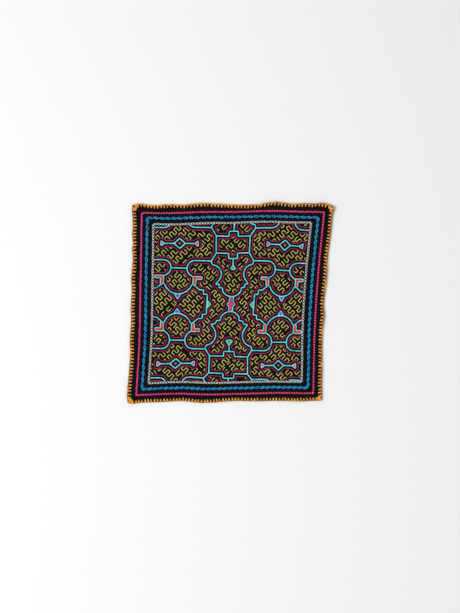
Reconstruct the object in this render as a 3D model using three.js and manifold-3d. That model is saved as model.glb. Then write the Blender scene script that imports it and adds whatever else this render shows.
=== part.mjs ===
// A square Shipibo embroidered cloth, lying face up on a flat surface.
// One black cotton panel is bound all round with orange blanket stitch. Three sewn rows run inside its
// edge, pink, blue and white, and frame a field of traditional maze-like line work.
// Millimetres, +Z up. The origin is on the surface below the middle of the cloth. +X is to its right and +Y
// to its top edge.

import * as THREE from 'three';
import { mergeVertices } from 'three/addons/utils/BufferGeometryUtils.js';
import Module from 'manifold-3d';

const wasm = await Module();
wasm.setup();

// Driving sizes
const HALF = 184; // half the side of the flat square, to the outside of the edging
const THICK = 1.6; // the stitched panel
const GAP = 0.3; // between a sewn piece and the panel
const RIM_WIDTH = 2.6; // the edging yarn along the cut edge
const BAR_LENGTH = 7.9; // a blanket-stitch bar, from the outside of the edging to its inner end
const BAR_ROOT = 3.6; // a bar's width at the edging yarn
const BAR_TIP = 2.4; // and at its inner end
const BAR_RISE = 1.3; // how far a bar's root stands above its foot
const BAR_LEAN = 0.9; // how far the bars lean over, first one way and then the other
const BAR_UNEVEN = 0.5; // how far they differ in length
const BAR_CORNER = 10; // the bars keep this far from a corner
const BAR_CLEARANCE = 0.35; // the edging stays this far above the panel, which twists a little at its rim
const UNDER_RIM = 0.5; // the edging yarn reaches this far below the panel
const LIFT_ZONE = 13; // the margin that curls up off the surface
const FIELD_DEPTH = 37; // from the outside of the edging to the white row
const SIDE_STEPS = 40; // straight steps along one side of the panel
const ROW_STEPS = 14; // straight steps along one side of a sewn row
const LINE_WIDTH = 2.2; // an embroidered line of the field
const LINE_RISE = 0.9;
const FIELD_CLEARANCE = 3.2; // from the white row's middle to where the field's lines are cut off

// The sewn rows: depth is from the outside of the edging to the row's middle.
const ROWS = [
  { name: 'row_pink', depth: 15.5, width: 4, rise: 1.1, colour: 0xd8357f },
  { name: 'row_blue', depth: 26, width: 5.2, rise: 1.3, colour: 0x1878b4 },
  { name: 'row_white', depth: FIELD_DEPTH, width: 4.8, rise: 1, colour: 0xd9d6d2 },
];

// Where the corners of the hand-sewn square really lie, at four depths, clockwise from the top left.
const RINGS = [
  { depth: 0, corners: [[-185, 183], [193, 177.5], [169, -181.5], [-192.5, -186]] },
  { depth: 15.5, corners: [[-166, 167.5], [173, 169], [152.5, -168], [-176.5, -171.5]] },
  { depth: 26, corners: [[-156, 158], [162, 159], [143, -157.5], [-166, -160.5]] },
  { depth: FIELD_DEPTH, corners: [[-144.5, 146.5], [148.5, 149.5], [131, -147], [-153.5, -149.5]] },
];

// How each side departs from straight, as [share of the side, mm outwards] at its edge and along its rows,
// and how far the edge lifts, as [share of the side, mm]. Shares run left to right and top to bottom.
const SIDES = {
  top: {
    bars: 58,
    edge: [[0, 0], [0.03, 2.2], [0.1, -0.6], [0.19, 1.8], [0.25, 1.1], [0.34, 4.3], [0.44, 3.4],
      [0.54, 2.4], [0.62, 3.4], [0.7, 8.6], [0.79, 5.8], [0.87, 7], [0.9, 6.2], [0.94, 8], [0.98, 4],
      [1, 0]],
    rows: [[0, 0], [0.15, -0.9], [0.35, 1], [0.5, 1], [0.72, 2.4], [0.88, 0.6], [1, 0]],
    lift: [[0, 1], [0.1, 1.6], [0.2, 0.7], [0.34, 2.4], [0.45, 1.2], [0.55, 0.7], [0.7, 3.6], [0.8, 1.6],
      [0.88, 2.6], [0.94, 3.2], [1, 3]],
  },
  right: {
    bars: 57,
    edge: [[0, 0], [0.03, -3.2], [0.14, -4.2], [0.26, -7.2], [0.36, -6.5], [0.5, -8.6], [0.56, -6],
      [0.62, -7.4], [0.72, -6.2], [0.83, -3.8], [0.92, -2.4], [0.98, -0.3], [1, 0]],
    rows: [[0, 0], [0.15, -2], [0.3, -3.8], [0.5, -4.8], [0.7, -4], [0.85, -2], [1, 0]],
    lift: [[0, 3], [0.1, 1.4], [0.2, 0.7], [0.36, 2.2], [0.5, 0.8], [0.58, 2.4], [0.7, 0.7], [0.85, 1.8],
      [1, 1.2]],
  },
  bottom: {
    bars: 60,
    edge: [[0, 0], [0.02, 1.8], [0.07, 0], [0.18, -0.8], [0.28, -2.2], [0.37, 1.7], [0.43, 1.5],
      [0.55, -1.3], [0.65, -0.2], [0.8, -0.2], [0.88, 1], [1, 0]],
    rows: [[0, 0], [0.22, -2], [0.4, 0.2], [0.6, -0.5], [0.8, -1.4], [1, 0]],
    lift: [[0, 2.4], [0.08, 1.2], [0.2, 0.7], [0.3, 2], [0.42, 0.7], [0.55, 1.9], [0.7, 0.7], [0.86, 2.2],
      [0.95, 0.9], [1, 1.2]],
  },
  left: {
    bars: 59,
    edge: [[0, 0], [0.03, -1], [0.11, -2.8], [0.15, -1.9], [0.19, -3.3], [0.23, -2.6], [0.27, -4.3],
      [0.37, -1.7], [0.43, -3], [0.53, -1.9], [0.58, -3], [0.69, -1.6], [0.75, -2.6], [0.86, -0.8],
      [0.97, 1.7], [1, 0]],
    rows: [[0, 0], [0.25, -1.2], [0.5, -2.2], [0.7, -3], [0.9, -1.3], [1, 0]],
    lift: [[0, 1], [0.12, 2.4], [0.2, 0.8], [0.3, 2.8], [0.42, 0.7], [0.5, 1.7], [0.6, 0.7], [0.72, 2.2],
      [0.85, 0.8], [0.94, 2.8], [1, 2.4]],
  },
};

// The line work is one cell of this size, mirrored in all four of its sides.
// Its points are [across, up] in millimetres from the cell's corner at the middle of the cloth.
const CELL = { width: 100, height: 111 };
const MIDDLE_RIGHT = 5; // the work's middle is sewn this far to the right of the cloth's, and its sides less
const WORK_LOW = 3.5; // the whole work lies this far down
const FIELD_LEAN = 0.03; // and drops this share to the right
const WANDER = 1; // how far the hand-drawn work wanders, and over what length it comes back
const WANDER_SPAN = 170;
// How far the work's levels were drawn above their even places, as [share of the cloth from the top, mm]
const LEVELS = [
  [0, -1], [0.1, -1.5], [0.2, 0], [0.5, 0.5], [0.62, 1], [0.715, -3], [0.74, -0.8], [0.85, 0.5],
  [0.87, 1.5], [0.89, 5.5], [1, 6],
];
const LOW_WIDER = 0.25; // the lower heart and box are wider by this share
const LOW_WIDER_REACH = 57; // which fades out at this distance from the middle
const LOW_WIDER_FROM = 31; // it begins this far below the middle
const LOW_WIDER_FADE = 8; // and is whole after this much more
const ARC_STEP = 20; // degrees between the points of a round stretch

// A round stretch about a centre, between two angles in degrees, anticlockwise from the right.
function arc([x, y], radius, from, to) {
  const steps = Math.ceil(Math.abs(to - from) / ARC_STEP);
  return Array.from({ length: steps + 1 }, (_, k) => {
    const angle = THREE.MathUtils.degToRad(from + ((to - from) * k) / steps);
    return [x + radius * Math.cos(angle), y + radius * Math.sin(angle)];
  });
}

const CELL_LINES = [
  [[0, 85], [8.5, 85], [8.5, 95], [32, 95], [32, 111]], // middle box with its notch
  [[32, 95], [41, 80]],
  [[41, 80], ...arc([71, 65.5], 14.5, 90, -65), [73, 50]], // shoulder down to the hook
  [[85, 65.5], [100, 65.5]],
  [[41, 80], [40, 74.5], ...arc([38.5, 56], 17, 95, 215), [31.5, 37.5], [24.5, 37.5], [24.5, 31],
    [18, 31], ...arc([0, 34], 20, -26, -90)], // heart with its steps
  arc([100, 45], 27, 199, 270), // lower half of the round
  [[69, 34], [60, 27], [52.5, 27], [52.5, 19], [45, 19], [45, 0]], // stepped side
  [[100, 101.5], [89.5, 111]], // diamond
  [[89.5, 111], [73, 111]],
  [[0, 85], [0, 72]],
];

const CELL_PADS = [
  [[74, 52], [57, 52], [55.5, 48.5], [57, 45], [66.5, 45], [66.5, 36], [70, 33], [74, 36]], // hook
  [[74.5, 111], [64.5, 117.8], [64.5, 104.2]], // bar end
  [[0, 75], [6.8, 65], [0, 62.8], [-6.8, 65]], // stem end
  [[45, 9.2], [36, 0], [45, -9.2]], // side triangle
  [[92.3, 18.6], [100, 6.8], [107.7, 18.6]], // lower triangle
  [[4.6, 15], [4.6, 5], [8.5, 1], [8.5, -1], [4.6, -5], [4.6, -15],
    [-4.6, -15], [-4.6, -5], [-8.5, -1], [-8.5, 1], [-4.6, 5], [-4.6, 15]], // spine
];

// The smooth value at a share of a table of [share, value] stations.
function along(table, share) {
  const f = Math.min(1, Math.max(0, share));
  const last = table.length - 1;
  let i = 0;
  while (i < last - 1 && f > table[i + 1][0]) i += 1;
  const slope = (k) => {
    const [before, after] = [table[Math.max(0, k - 1)], table[Math.min(last, k + 1)]];
    return (after[1] - before[1]) / (after[0] - before[0]);
  };
  const [[f0, v0], [f1, v1]] = [table[i], table[i + 1]];
  const span = f1 - f0;
  const u = (f - f0) / span;
  const v = 1 - u;
  const level = v0 * v * v * (1 + 2 * u) + v1 * u * u * (1 + 2 * v);
  return level + span * u * v * (slope(i) * v - slope(i + 1) * u);
}

function cornersAt(depth) {
  let i = 0;
  while (i < RINGS.length - 2 && depth > RINGS[i + 1].depth) i += 1;
  const [outer, inner] = [RINGS[i], RINGS[i + 1]];
  const u = (depth - outer.depth) / (inner.depth - outer.depth);
  return outer.corners.map((corner, k) =>
    corner.map((value, axis) => value * (1 - u) + inner.corners[k][axis] * u));
}

// Where a point of the flat square lies on the hand-sewn cloth.
function place(s, t) {
  const reach = Math.max(Math.abs(s), Math.abs(t), HALF - FIELD_DEPTH);
  const [p, q] = [s / reach, t / reach];
  const shares = [(1 - p) * (1 + q), (1 + p) * (1 + q), (1 + p) * (1 - q), (1 - p) * (1 - q)];
  const spot = [0, 0];
  cornersAt(HALF - reach).forEach((corner, k) => {
    spot[0] += (corner[0] * shares[k]) / 4;
    spot[1] += (corner[1] * shares[k]) / 4;
  });
  const atEdge = Math.max(0, 1 - (HALF - reach) / ROWS[0].depth);
  const bulge = (side, share) =>
    along(SIDES[side].rows, share) * (1 - atEdge) + along(SIDES[side].edge, share) * atEdge;
  const [across, down] = [(p + 1) / 2, (1 - q) / 2];
  spot[0] += bulge('right', down) * Math.max(0, p) - bulge('left', down) * Math.max(0, -p);
  spot[1] += bulge('top', across) * Math.max(0, q) - bulge('bottom', across) * Math.max(0, -q);
  return spot;
}

// A point of the flat square from a side, the distance along it and the depth in from it.
function fromSide(side, run, depth) {
  const reach = HALF - depth;
  return { top: [run, reach], bottom: [run, -reach], left: [-reach, -run], right: [reach, -run] }[side];
}

// How far the panel is off the surface there. It is straight between the panel's own corners.
const PANEL_DEPTHS = [RIM_WIDTH + GAP, 8, LIFT_ZONE];
function lift(side, run, depth) {
  const share = (run / (HALF - depth) + 1) / 2;
  const step = Math.min(SIDE_STEPS - 1, Math.max(0, Math.floor(share * SIDE_STEPS)));
  const u = share * SIDE_STEPS - step;
  const { lift: table } = SIDES[side];
  const atEdge = along(table, step / SIDE_STEPS) * (1 - u) + along(table, (step + 1) / SIDE_STEPS) * u;
  const curl = (d) => THREE.MathUtils.smoothstep(1 - d / LIFT_ZONE, 0, 1);
  const [outer, inner] = depth < PANEL_DEPTHS[1] ? PANEL_DEPTHS : PANEL_DEPTHS.slice(1);
  const w = THREE.MathUtils.clamp((depth - outer) / (inner - outer), 0, 1);
  return atEdge * (curl(outer) * (1 - w) + curl(inner) * w);
}

// How much wider the margin lies there than it is on the flat square.
function stretchAt(side, run) {
  const [x0, y0] = place(...fromSide(side, run, 0));
  const [x1, y1] = place(...fromSide(side, run, ROWS[0].depth));
  return Math.hypot(x1 - x0, y1 - y0) / ROWS[0].depth;
}

const PERIMETER = ['top', 'right', 'bottom', 'left'];

// A closed loop round the cloth at one depth, as [x, y, lift].
function loopAt(depth, steps) {
  const points = [];
  PERIMETER.forEach((side) => {
    const backwards = side === 'bottom' || side === 'left';
    for (let i = 0; i < steps; i += 1) {
      const share = backwards ? 1 - i / steps : i / steps;
      const run = (2 * share - 1) * (HALF - depth);
      points.push([...place(...fromSide(side, run, depth)), lift(side, run, depth)]);
    }
  });
  return points;
}

// A closed mesh from vertices and triangles, turned to face out.
function closed(vertices, triangles) {
  let volume = 0;
  const [a, b, c] = [new THREE.Vector3(), new THREE.Vector3(), new THREE.Vector3()];
  triangles.forEach(([i, j, k]) => {
    volume += a.set(...vertices[i]).dot(b.set(...vertices[j]).cross(c.set(...vertices[k])));
  });
  const facing = volume < 0 ? triangles.map(([i, j, k]) => [i, k, j]) : triangles;
  const geometry = new THREE.BufferGeometry();
  geometry.setAttribute('position', new THREE.Float32BufferAttribute(vertices.flat(), 3));
  geometry.setIndex(facing.flat());
  return geometry;
}

// The triangles between two closed loops of vertices that start at a and b.
function band(a, b, count) {
  const triangles = [];
  for (let i = 0; i < count; i += 1) {
    const j = (i + 1) % count;
    triangles.push([a + i, a + j, b + j], [a + i, b + j, b + i]);
  }
  return triangles;
}

// The cotton panel: a thin sheet with a curled margin and a flat middle, which it rests on.
function panel() {
  const loops = PANEL_DEPTHS.map((depth) => loopAt(depth, SIDE_STEPS));
  const count = loops[0].length;
  const vertices = [THICK, 0].flatMap((height) =>
    loops.flatMap((loop) => loop.map(([x, y, z]) => [x, y, z + height])));
  const below = loops.length * count;
  const innermost = loops.at(-1).map(([x, y]) => new THREE.Vector2(x, y));
  const middle = THREE.ShapeUtils.triangulateShape(innermost, []);
  const upper = [
    ...loops.slice(1).flatMap((_, k) => band((k + 1) * count, k * count, count)),
    ...middle.map((corners) => corners.map((k) => below - count + k)),
  ];
  const lower = upper.map(([i, j, k]) => [i + below, k + below, j + below]);
  return closed(vertices, [...upper, ...lower, ...band(0, below, count)]);
}

// One side of the blanket stitch: the yarn along the edge, and bars that slope down to the panel.
function edging(side) {
  const { bars } = SIDES[side];
  const vertices = [];
  const triangles = [];
  const pitch = (2 * (HALF - BAR_CORNER)) / (bars - 1);
  const at = (run, depth, height) => {
    vertices.push([...place(...fromSide(side, run, depth)), height]);
    return vertices.length - 1;
  };
  const rim = (run, corner = 0) => {
    // At a corner each point stops on the diagonal, so that the next side's edging can start there.
    const keep = (depth) => run - corner * depth;
    const base = lift(side, keep(RIM_WIDTH), PANEL_DEPTHS[0]);
    const crest = base + THICK + BAR_CLEARANCE;
    return [
      at(keep(0), 0, base + THICK / 2),
      at(keep(RIM_WIDTH / 2), RIM_WIDTH / 2, crest + BAR_RISE),
      at(keep(RIM_WIDTH), RIM_WIDTH, crest),
      at(keep(RIM_WIDTH / 2), RIM_WIDTH / 2, base - UNDER_RIM),
    ];
  };
  const join = (from, to, faces) => faces.forEach((k) => {
    const n = (k + 1) % 4;
    triangles.push([from[k], to[k], to[n]], [from[k], to[n], from[n]]);
  });
  const cornerRun = HALF - GAP / 2;
  let before = rim(-cornerRun, -1);
  triangles.push([before[0], before[1], before[2]], [before[0], before[2], before[3]]);
  for (let i = 0; i < bars; i += 1) {
    const middle = -HALF + BAR_CORNER + i * pitch;
    const lean = BAR_LEAN * Math.sin(i / 4 + bars) + BAR_UNEVEN * Math.sin(2 * i);
    const length = BAR_LENGTH + BAR_UNEVEN * Math.sin(2.3 * i + bars);
    const reach = length / stretchAt(side, middle);
    const start = rim(middle - BAR_ROOT / 2);
    const stop = rim(middle + BAR_ROOT / 2);
    const tips = [-1, 1].map((hand) => {
      const run = middle + lean + (hand * BAR_TIP) / 2;
      return at(run, reach, lift(side, run, reach) + THICK + BAR_CLEARANCE);
    });
    join(before, start, [0, 1, 2, 3]);
    join(start, stop, [0, 2, 3]);
    triangles.push([start[1], stop[1], tips[1]], [start[1], tips[1], tips[0]]);
    triangles.push([start[2], tips[1], stop[2]], [start[2], tips[0], tips[1]]);
    triangles.push([start[1], tips[0], start[2]], [stop[1], stop[2], tips[1]]);
    before = stop;
  }
  const finish = rim(cornerRun, 1);
  join(before, finish, [0, 1, 2, 3]);
  triangles.push([finish[0], finish[2], finish[1]], [finish[0], finish[3], finish[2]]);
  return closed(vertices, triangles);
}

// A sewn row: a low ridge round the cloth, flat underneath.
function row({ depth, width, rise }) {
  const foot = THICK + GAP;
  const crest = foot + rise;
  const section = [[-width / 2, foot], [-width / 4, crest], [width / 4, crest], [width / 2, foot]];
  const count = 4 * ROW_STEPS;
  const vertices = section.flatMap(([inwards, height]) =>
    loopAt(depth + inwards, ROW_STEPS).map(([x, y]) => [x, y, height]));
  const triangles = section.flatMap((_, k) => band(k * count, ((k + 1) % section.length) * count, count));
  return closed(vertices, triangles);
}

// A prism over a flat outline, as a solid for joining and cutting.
function prism(outline, from, to) {
  const shape = new THREE.Shape(outline.map(([x, y]) => new THREE.Vector2(x, y)));
  const extruded = new THREE.ExtrudeGeometry(shape, { depth: to - from, bevelEnabled: false });
  extruded.translate(0, 0, from);
  extruded.deleteAttribute('normal');
  extruded.deleteAttribute('uv');
  const merged = mergeVertices(extruded);
  return new wasm.Manifold(new wasm.Mesh({
    numProp: 3,
    vertProperties: merged.attributes.position.array,
    triVerts: new Uint32Array(merged.index.array),
  }));
}

// The outline of a line of the given width, with mitred bends. Its ends run on into their neighbours.
function ribbon(points, width, runOn) {
  const line = points.map(([x, y]) => new THREE.Vector2(x, y));
  const last = line.length - 1;
  const heading = (k) => line[k + 1].clone().sub(line[k]).normalize();
  line[0].addScaledVector(heading(0), -runOn);
  line[last].addScaledVector(heading(last - 1), runOn);
  const sides = line.map((point, k) => {
    const [into, out] = [heading(Math.max(0, k - 1)), heading(Math.min(last - 1, k))];
    const middle = into.clone().add(out).normalize();
    const reach = width / 2 / middle.dot(out);
    return [point.x - middle.y * reach, point.y + middle.x * reach,
      point.x + middle.y * reach, point.y - middle.x * reach];
  });
  return [...sides.map(([x, y]) => [x, y]), ...sides.reverse().map(([, , x, y]) => [x, y])];
}

// Where a point of the regular work lies on the flat square, as it was drawn by hand.
function drawn([x, y]) {
  const [u, v] = [x, y].map((w) => (2 * Math.PI * w) / WANDER_SPAN);
  const low = Math.min(Math.max((-y - LOW_WIDER_FROM) / LOW_WIDER_FADE, 0), 1);
  const wider = 1 + LOW_WIDER * low * Math.max(1 - (x / LOW_WIDER_REACH) ** 2, 0);
  const level = along(LEVELS, (1 - y / HALF) / 2);
  return [
    x * wider + MIDDLE_RIGHT * (1 - Math.abs(x) / HALF) + WANDER * Math.sin(v + u / 2),
    y + level - WORK_LOW - FIELD_LEAN * x + WANDER * Math.sin(u - v / 2 + 1),
  ];
}

// Every mirrored copy of a cell's points that can reach the field, each kept once.
function mirrored(points) {
  const copies = new Map();
  for (let column = -2; column < 2; column += 1) {
    for (let level = -2; level < 2; level += 1) {
      const copy = points.map(([a, b]) => {
        const x = column % 2 ? (column + 1) * CELL.width - a : column * CELL.width + a;
        const y = level % 2 ? (level + 1) * CELL.height - b : level * CELL.height + b;
        return [x, y];
      });
      const key = copy.map(([x, y]) => `${x.toFixed(2)} ${y.toFixed(2)}`).sort().join();
      copies.set(key, copy.map(drawn));
    }
  }
  return [...copies.values()];
}

// The raised line work: the lines and pads of every cell, joined, cut off at the white row and laid on the
// cloth.
function lineWork() {
  const [foot, crest] = [THICK + GAP, THICK + GAP + LINE_RISE];
  const runOn = 0.8;
  const pieces = [
    ...CELL_LINES.flatMap((line) => mirrored(line).map((copy) => ribbon(copy, LINE_WIDTH, runOn))),
    ...CELL_PADS.flatMap((pad) => mirrored(pad)),
  ].map((outline) => prism(outline, foot, crest));
  const edge = HALF - FIELD_DEPTH - FIELD_CLEARANCE;
  const field = prism([[-edge, -edge], [edge, -edge], [edge, edge], [-edge, edge]], foot - 1, crest + 1);
  const worked = wasm.Manifold.union(pieces).intersect(field);
  return worked.decompose().sort((a, b) => b.volume() - a.volume()).map((solid) => {
    const { vertProperties, triVerts } = solid.getMesh();
    const vertices = [];
    for (let i = 0; i < vertProperties.length; i += 3) {
      vertices.push([...place(vertProperties[i], vertProperties[i + 1]), vertProperties[i + 2]]);
    }
    const triangles = [];
    for (let i = 0; i < triVerts.length; i += 3) triangles.push([...triVerts.slice(i, i + 3)]);
    return closed(vertices, triangles);
  });
}

const cloth = new THREE.Group();
function add(name, geometry, colour) {
  const material = new THREE.MeshStandardMaterial({ color: colour, roughness: 0.85, metalness: 0 });
  const mesh = new THREE.Mesh(geometry, material);
  mesh.name = name;
  cloth.add(mesh);
}

add('panel', panel(), 0x16151a);
PERIMETER.forEach((side) => add(`edging_${side}`, edging(side), 0xe08a1e));
ROWS.forEach((sizes) => add(sizes.name, row(sizes), sizes.colour));
lineWork().forEach((geometry, k) => add(`linework_${k + 1}`, geometry, 0x46b8b8));

// The origin goes under the middle of the whole.
const centre = new THREE.Box3().setFromObject(cloth).getCenter(new THREE.Vector3());
cloth.position.set(-centre.x, -centre.y, 0);

export default cloth;
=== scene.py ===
"""A square embroidered cloth laid flat, dressed over its CAD solids.

The stitches are drawn in millimetres on a flat square, s to the right and t up from its middle.
place() then carries them to where the hand-sewn cloth really lies.
"""

import math
import random

import bpy
import numpy as np
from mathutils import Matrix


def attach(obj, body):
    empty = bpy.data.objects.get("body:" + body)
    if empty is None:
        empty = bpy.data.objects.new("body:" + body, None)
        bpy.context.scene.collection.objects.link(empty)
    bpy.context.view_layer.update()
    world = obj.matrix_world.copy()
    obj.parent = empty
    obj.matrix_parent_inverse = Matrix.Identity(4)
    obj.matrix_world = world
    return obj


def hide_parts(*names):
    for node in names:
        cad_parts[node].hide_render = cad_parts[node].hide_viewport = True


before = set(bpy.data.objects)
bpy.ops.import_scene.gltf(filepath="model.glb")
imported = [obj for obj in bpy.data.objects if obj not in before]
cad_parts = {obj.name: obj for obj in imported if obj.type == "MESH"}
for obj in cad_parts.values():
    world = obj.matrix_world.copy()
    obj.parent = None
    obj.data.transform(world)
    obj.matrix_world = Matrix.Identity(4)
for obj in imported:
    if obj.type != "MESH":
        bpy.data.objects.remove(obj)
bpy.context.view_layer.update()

# Driving sizes, in millimetres
MM = 0.001
HALF = 184  # half the side of the flat square, to the outside of the edging
THICK = 1.6  # the stitched panel
PANEL_DEPTH = 1.4  # the panel's cut edge, inside the edging yarn
PANEL_PITCH = 2.4  # between the lines of the panel's mesh
LIFT_ZONE = 13  # the margin that curls up off the surface
ROW_DEPTHS = {"pink": 15.5, "blue": 26, "white": 37}  # from the outside to each sewn row's middle
FIELD_EDGE = 145.2  # the line work runs on under the white row, to here

# Where the corners of the hand-sewn square really lie at four depths, clockwise from the top left
RING_DEPTHS = (0, *ROW_DEPTHS.values())
RING_CORNERS = (
    ((-185, 183), (193, 177.5), (169, -181.5), (-192.5, -186)),
    ((-166, 167.5), (173, 169), (152.5, -168), (-176.5, -171.5)),
    ((-156, 158), (162, 159), (143, -157.5), (-166, -160.5)),
    ((-144.5, 146.5), (148.5, 149.5), (131, -147), (-153.5, -149.5)),
)

# How each side departs from straight, as (share of the side, mm outwards) at its edge and along its rows, and
# how far the edge lifts, as (share of the side, mm). Shares run left to right and top to bottom.
SIDES = {
    "top": {
        "bars": 58,
        "edge": [(0, 0), (0.03, 2.2), (0.1, -0.6), (0.19, 1.8), (0.25, 1.1), (0.34, 4.3), (0.44, 3.4),
                 (0.54, 2.4), (0.62, 3.4), (0.7, 8.6), (0.79, 5.8), (0.87, 7), (0.9, 6.2), (0.94, 8),
                 (0.98, 4), (1, 0)],
        "rows": [(0, 0), (0.15, -0.9), (0.35, 1), (0.5, 1), (0.72, 2.4), (0.88, 0.6), (1, 0)],
        "lift": [(0, 1), (0.1, 1.6), (0.2, 0.7), (0.34, 2.4), (0.45, 1.2), (0.55, 0.7), (0.7, 3.6),
                 (0.8, 1.6), (0.88, 2.6), (0.94, 3.2), (1, 3)],
    },
    "right": {
        "bars": 57,
        "edge": [(0, 0), (0.03, -3.2), (0.14, -4.2), (0.26, -7.2), (0.36, -6.5), (0.5, -8.6), (0.56, -6),
                 (0.62, -7.4), (0.72, -6.2), (0.83, -3.8), (0.92, -2.4), (0.98, -0.3), (1, 0)],
        "rows": [(0, 0), (0.15, -2), (0.3, -3.8), (0.5, -4.8), (0.7, -4), (0.85, -2), (1, 0)],
        "lift": [(0, 3), (0.1, 1.4), (0.2, 0.7), (0.36, 2.2), (0.5, 0.8), (0.58, 2.4), (0.7, 0.7),
                 (0.85, 1.8), (1, 1.2)],
    },
    "bottom": {
        "bars": 60,
        "edge": [(0, 0), (0.02, 1.8), (0.07, 0), (0.18, -0.8), (0.28, -2.2), (0.37, 1.7), (0.43, 1.5),
                 (0.55, -1.3), (0.65, -0.2), (0.8, -0.2), (0.88, 1), (1, 0)],
        "rows": [(0, 0), (0.22, -2), (0.4, 0.2), (0.6, -0.5), (0.8, -1.4), (1, 0)],
        "lift": [(0, 2.4), (0.08, 1.2), (0.2, 0.7), (0.3, 2), (0.42, 0.7), (0.55, 1.9), (0.7, 0.7),
                 (0.86, 2.2), (0.95, 0.9), (1, 1.2)],
    },
    "left": {
        "bars": 59,
        "edge": [(0, 0), (0.03, -1), (0.11, -2.8), (0.15, -1.9), (0.19, -3.3), (0.23, -2.6), (0.27, -4.3),
                 (0.37, -1.7), (0.43, -3), (0.53, -1.9), (0.58, -3), (0.69, -1.6), (0.75, -2.6),
                 (0.86, -0.8), (0.97, 1.7), (1, 0)],
        "rows": [(0, 0), (0.25, -1.2), (0.5, -2.2), (0.7, -3), (0.9, -1.3), (1, 0)],
        "lift": [(0, 1), (0.12, 2.4), (0.2, 0.8), (0.3, 2.8), (0.42, 0.7), (0.5, 1.7), (0.6, 0.7),
                 (0.72, 2.2), (0.85, 0.8), (0.94, 2.8), (1, 2.4)],
    },
}

# The line work is one cell of this size, mirrored in all four of its sides. Its points are (across, up) from
# the cell's corner at the middle of the cloth.
CELL_WIDTH, CELL_HEIGHT = 100, 111
MIDDLE_RIGHT = 5  # the work's middle is sewn this far to the right of the cloth's, and its sides less
WORK_LOW = 3.5  # the whole work lies this far down
FIELD_LEAN = 0.03  # and drops this share to the right
WANDER, WANDER_SPAN = 1, 170  # how far the hand-drawn work wanders, and over what length it comes back
# How far the work's levels were drawn above their even places, as (share of the cloth from the top, mm)
LEVELS = [(0, -1), (0.1, -1.5), (0.2, 0), (0.5, 0.5), (0.62, 1), (0.715, -3), (0.74, -0.8), (0.85, 0.5),
          (0.87, 1.5), (0.89, 5.5), (1, 6)]
LOW_WIDER, LOW_WIDER_REACH = 0.25, 57  # the lower heart and box are wider by this share, which fades to here
LOW_WIDER_FROM, LOW_WIDER_FADE = 31, 8  # that begins this far below the middle, and is whole after this much
ARC_STEP = 20  # degrees between the points of a round stretch


def arc(centre, radius, start, stop):
    """A round stretch between two angles in degrees, anticlockwise from the right."""
    steps = math.ceil(abs(stop - start) / ARC_STEP)
    angles = np.radians(np.linspace(start, stop, steps + 1))
    return [(centre[0] + radius * math.cos(a), centre[1] + radius * math.sin(a)) for a in angles]


CELL_LINES = [
    [(0, 85), (8.5, 85), (8.5, 95), (32, 95), (32, 111)],  # middle box with its notch
    [(32, 95), (41, 80)],
    [(41, 80), *arc((71, 65.5), 14.5, 90, -65), (73, 50)],  # shoulder down to the hook
    [(85, 65.5), (100, 65.5)],
    [(41, 80), (40, 74.5), *arc((38.5, 56), 17, 95, 215), (31.5, 37.5), (24.5, 37.5), (24.5, 31),
     (18, 31), *arc((0, 34), 20, -26, -90)],  # heart with its steps
    arc((100, 45), 27, 199, 270),  # lower half of the round
    [(69, 34), (60, 27), (52.5, 27), (52.5, 19), (45, 19), (45, 0)],  # stepped side
    [(100, 101.5), (89.5, 111)],  # diamond
    [(89.5, 111), (73, 111)],
    [(0, 85), (0, 72)],
]

CELL_PADS = [
    {"fill": "red", "slant": 45,
     "points": [(74, 52), (57, 52), (55.5, 48.5), (57, 45), (66.5, 45), (66.5, 36), (70, 33), (74, 36)]},
    {"fill": "rose", "slant": 90, "border": 1.4, "points": [(74.5, 111), (64.5, 117.8), (64.5, 104.2)]},
    {"fill": "green", "slant": 90, "points": [(0, 75), (6.8, 65), (0, 62.8), (-6.8, 65)]},
    {"fill": "green", "slant": 0, "points": [(45, 9.2), (36, 0), (45, -9.2)]},
    {"fill": "purple", "slant": 90, "points": [(92.3, 18.6), (100, 6.8), (107.7, 18.6)]},
    {"fill": "rose", "slant": 0, "border": 2.8,
     "points": [(4.6, 15), (4.6, 5), (8.5, 1), (8.5, -1), (4.6, -5), (4.6, -15),
                (-4.6, -15), (-4.6, -5), (-8.5, -1), (-8.5, 1), (-4.6, 5), (-4.6, 15)]},
]

# The photograph's frame, in pixels of its own, and the scale and place that it has on the surface
PHOTO_WIDTH, PHOTO_HEIGHT = 460, 613
PHOTO_SCALE = 1.86  # millimetres a pixel
PHOTO_ORIGIN = (231.15, 302.9)  # the pixel over the point (0, 0) of RING_CORNERS

rng = random.Random(15)


# Where things lie on the cloth

def along(table, share):
    """The smooth value at a share of a table of (share, value) stations."""
    f, v = np.array(table, float).T
    last = len(f) - 1
    before = np.maximum(np.arange(last + 1) - 1, 0)
    after = np.minimum(np.arange(last + 1) + 1, last)
    slope = (v[after] - v[before]) / (f[after] - f[before])
    x = np.clip(share, 0, 1)
    i = np.clip(np.searchsorted(f, x) - 1, 0, last - 1)
    span = f[i + 1] - f[i]
    u = (x - f[i]) / span
    w = 1 - u
    level = v[i] * w * w * (1 + 2 * u) + v[i + 1] * u * u * (1 + 2 * w)
    return level + span * u * w * (slope[i] * w - slope[i + 1] * u)


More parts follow.
